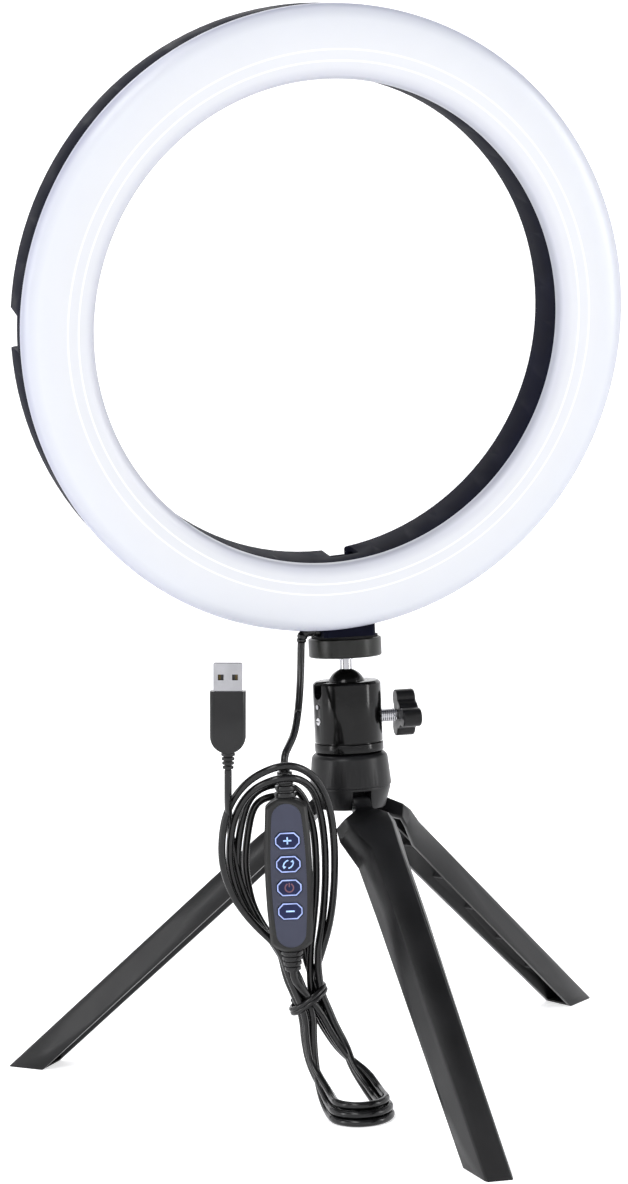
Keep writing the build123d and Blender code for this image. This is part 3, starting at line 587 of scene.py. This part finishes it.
def make_tie(materials):
    """Twist tie: two slanting turns round the waist, with its two ends twisted together."""
    per_turn = 30
    points = []
    for i in range(2 * per_turn + 1):
        angle = 2 * math.pi * i / per_turn + 2.2
        lift = 0.055 * i - 1.6 + 1.8 * math.cos(angle)
        around = WAIST_ACROSS * (8.4 * math.cos(angle)) + WAIST_DEEP * (7.0 * math.sin(angle))
        points.append((WAIST + around + WAIST_ALONG * lift) * MM)
    band = sweep_along("twist_tie", points, lambda i: 1.15 * MM, 12)
    run = WAIST_ACROSS * 0.9 - WAIST_DEEP * 0.55 - WAIST_ALONG * 0.62
    ends = [points[-1] + run * (step * MM) for step in range(12)]
    stub = sweep_along("twist_tie_ends", ends, lambda i: (1.5 + 0.4 * math.cos(2.2 * i)) * MM, 12)
    for piece in (band, stub):
        paint(piece, materials["cord_pvc"])
        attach(piece, "tripod")
    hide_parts("hank_tie")
    return band, stub


# ---------------------------------------------------------------- ring
def diffuser_profile():
    """Cross-section of the cover, from the outer rim over the dome to the inner rim."""
    middle = (RING_OUTER + RING_INNER) / 2
    half = (RING_OUTER - RING_INNER) / 2
    lip_in, lip_back = 0.2 * MM, 0.35 * MM
    profile = [(RING_OUTER - lip_in, lip_back), (RING_OUTER, 0.0)]
    steps = 48
    for i in range(steps + 1):
        angle = math.pi * i / steps
        across = math.copysign(abs(math.cos(angle)) ** 0.9, math.cos(angle))
        profile.append((middle + half * across, -COVER_RISE * math.sin(angle) ** 0.8 - COVER_EDGE))
    profile += [(RING_INNER, 0.0), (RING_INNER + lip_in, lip_back)]
    return profile


def make_cover(materials):
    """Domed diffuser, turned finely enough for a smooth edge."""
    cover = lathe("diffuser_cover_shape", diffuser_profile(), RING_CENTRE, RING_X, RING_Y, 288,
                  materials["diffuser"])
    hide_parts("diffuser_cover")
    place(cover, "diffuser_cover")


# ---------------------------------------------------------------- marks on the dimmer
MARK_X = Vector((math.cos(DIMMER_TURN), math.sin(DIMMER_TURN), 0.0))
MARK_Z = Vector((0.0, 0.0, 1.0))
MARK_OUT = Vector((MARK_X.y, -MARK_X.x, 0.0))
MARK_SUNK = 0.15               # depth of each mark inside its button, in mm


def arc(radius, start, stop, steps=10, middle=(0.0, 0.0)):
    """Points of an arc between two angles in degrees."""
    angles = [math.radians(start + (stop - start) * i / steps) for i in range(steps + 1)]
    return [(middle[0] + radius * math.cos(a), middle[1] + radius * math.sin(a)) for a in angles]


def ribbon(line, width, closed=False):
    """Quads of a line of this width, mitred at its corners."""
    count = len(line)
    sides = []
    for i, (x, z) in enumerate(line):
        before = line[i - 1] if i or closed else line[i]
        after = line[(i + 1) % count] if i < count - 1 or closed else line[i]
        one = Vector((x - before[0], z - before[1]))
        two = Vector((after[0] - x, after[1] - z))
        one = one.normalized() if one.length else two.normalized()
        two = two.normalized() if two.length else one
        bisector = (one + two).normalized()
        reach = width / 2 / max(0.3, bisector.dot(one))
        normal = Vector((-bisector.y, bisector.x)) * reach
        sides.append(((x + normal.x, z + normal.y), (x - normal.x, z - normal.y)))
    pairs = list(zip(sides, sides[1:])) + ([(sides[-1], sides[0])] if closed else [])
    return [(a[0], a[1], b[1], b[0]) for a, b in pairs]


def raised(name, node, shapes, material, lift):
    """Flat shapes, in mm about the node's middle, standing out from its front face."""
    points = [vertex.co for vertex in frame["nodes"][node].data.vertices]
    low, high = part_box(node)
    face = max(point.dot(MARK_OUT) for point in points)
    middle = (low + high) / 2
    origin = middle + MARK_OUT * (face - middle.dot(MARK_OUT))
    vertices, faces = [], []
    for shape in shapes:
        start, count = len(vertices), len(shape)
        for height in (-MARK_SUNK, lift):
            vertices += [origin + (MARK_X * x + MARK_Z * z + MARK_OUT * height) * MM for x, z in shape]
        faces.append([start + count + k for k in range(count)])
        for k in range(count):
            j = (k + 1) % count
            faces.append([start + k, start + j, start + count + j, start + count + k])
    mark = mesh_object(name, vertices, faces, material, smooth=False)
    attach(mark, body_of_node(node))


def button_marks(materials):
    """Lit outline and sign of each button."""
    corner_x, corner_z, cut = 4.85, 3.15, 2.0
    outline = [(-corner_x, -corner_z + cut), (-corner_x + cut, -corner_z), (corner_x - cut, -corner_z),
               (corner_x, -corner_z + cut), (corner_x, corner_z - cut), (corner_x - cut, corner_z),
               (-corner_x + cut, corner_z), (-corner_x, corner_z - cut)]
    plus = ribbon([(-1.7, 0), (1.7, 0)], 0.6) + ribbon([(0, -1.5), (0, 1.5)], 0.6)
    minus = ribbon([(-1.8, 0), (1.8, 0)], 0.65)
    left_arrow = ribbon(arc(2.6, 100, 172, middle=(0.5, -0.9)), 0.5)
    left_arrow.append(((-2.5, -0.5), (-1.95, -1.9), (-0.9, -1.0)))
    right_arrow = ribbon(arc(2.6, -80, -8, middle=(-0.5, 0.9)), 0.5)
    right_arrow.append(((2.5, 0.5), (1.95, 1.9), (0.9, 1.0)))
    power = ribbon(arc(1.75, 115, 425, 26), 0.55) + ribbon([(0, 0.3), (0, 2.1)], 0.5)
    signs = {"brighter": plus, "colour": left_arrow + right_arrow, "power": power, "dimmer": minus}
    edge = ribbon(outline, 0.5, closed=True)
    for key, sign in signs.items():
        button = "button_" + key
        raised(button + "_outline", button, edge, materials["outline_light"], 0.06)
        lit = materials["power_light" if key == "power" else "sign_light"]
        raised(button + "_sign", button, sign, lit, 0.05)


# ---------------------------------------------------------------- everything else
def make_stage():
    """Round white sweep: a flat floor whose rim turns up."""
    flat, curve = 2.4, 1.5
    profile = [(0.02, 0.0), (flat, 0.0)]
    for degrees in range(6, 91, 6):
        angle = math.radians(degrees)
        profile.append((flat + curve * math.sin(angle), curve - curve * math.cos(angle)))
    profile.append((flat + curve, 2.2))
    material, _, shader = new_material("sweep_white")
    shader.inputs["Base Color"].default_value = (0.90, 0.90, 0.91, 1)
    shader.inputs["Roughness"].default_value = 0.8
    shader.inputs["Specular IOR Level"].default_value = 0.1
    shader.inputs["Emission Color"].default_value = (1.0, 1.0, 1.0, 1)
    shader.inputs["Emission Strength"].default_value = 0.55
    floor = lathe("sweep", profile, Vector((0, 0, 0)), Vector((1, 0, 0)), Vector((0, 0, 1)), 96, material)
    disc = [(x, z, -0.00005) for x, z in arc(0.03, 0, 345, 23)]
    middle = mesh_object("sweep_middle", disc, [tuple(range(len(disc)))], material, smooth=False)


def area_light(name, location, target, size, power):
    """Rectangular light aimed at a point; size is in metres and power in watts."""
    data = bpy.data.lights.new(name, "AREA")
    data.shape = "RECTANGLE"
    data.size, data.size_y = size
    data.energy = power
    light = link(bpy.data.objects.new(name, data))
    light.location = location
    light.rotation_mode = "QUATERNION"
    light.rotation_quaternion = (Vector(location) - Vector(target)).to_track_quat("Z", "Y")


def make_lights():
    """Even white surroundings, a soft key, a strip at each side, and lights behind and above."""
    world = bpy.data.worlds.new("studio")
    world.use_nodes = True
    background = world.node_tree.nodes["Background"]
    background.inputs["Color"].default_value = (0.95, 0.96, 1.0, 1)
    background.inputs["Strength"].default_value = 0.36
    bpy.context.scene.world = world
    bpy.context.scene.view_settings.view_transform = "Standard"
    aim = (0, 0, 0.2)
    area_light("key", (-1.0, -1.3, 1.5), aim, (0.7, 0.7), 13.0)
    area_light("left_strip", (-1.5, -0.35, 0.45), aim, (0.14, 1.1), 6.0)
    area_light("right_strip", (1.35, -0.75, 0.45), aim, (0.14, 1.2), 8.0)
    area_light("back", (0.3, 1.5, 1.3), aim, (1.6, 0.8), 8.0)
    area_light("top", (-0.70, 0.05, 1.9), (-0.60, 0.05, 0.0), (1.8, 0.30), 11.0)


REPLACED = {"cord_lead", "cord_hank", "cord_drop", "cord_tail", "hank_tie", "diffuser_cover"}
SOFT_EDGES = {
    "rear_housing": 0.4, "platform_disc": 0.25, "head_body": 0.35, "head_base": 0.25, "hub_cap": 0.6,
    "hub_body": 0.4, "leg_front": 0.5, "leg_left": 0.5, "leg_right": 0.5, "lock_knob": 0.3,
    "dimmer_front": 0.3, "dimmer_back": 0.3, "dimmer_relief_top": 0.25, "dimmer_relief_bottom": 0.25,
    "plug_grip": 0.5, "plug_relief": 0.2,
}


def finish_nodes(materials):
    """Round the edges of the nodes named above, and give every other node that shows its material."""
    for name in frame["nodes"]:
        if name in REPLACED:
            continue
        finish = materials[slot_of_node(name)]
        if name not in SOFT_EDGES:
            paint_node(name, finish)
        elif name.startswith("leg_"):
            place(softened(name, SOFT_EDGES[name], segments=1, smooth=72.0), name, finish)
        else:
            place(softened(name, SOFT_EDGES[name]), name, finish)


make_camera()
materials = make_materials()
sleeve, lead_upper, upper_path, lead_lower, lower_path = make_lead(materials)
folded_cord, folded_line = make_folded_cord(materials)
tie = make_tie(materials)
make_cover(materials)
make_stage()
make_lights()
finish_nodes(materials)
button_marks(materials)
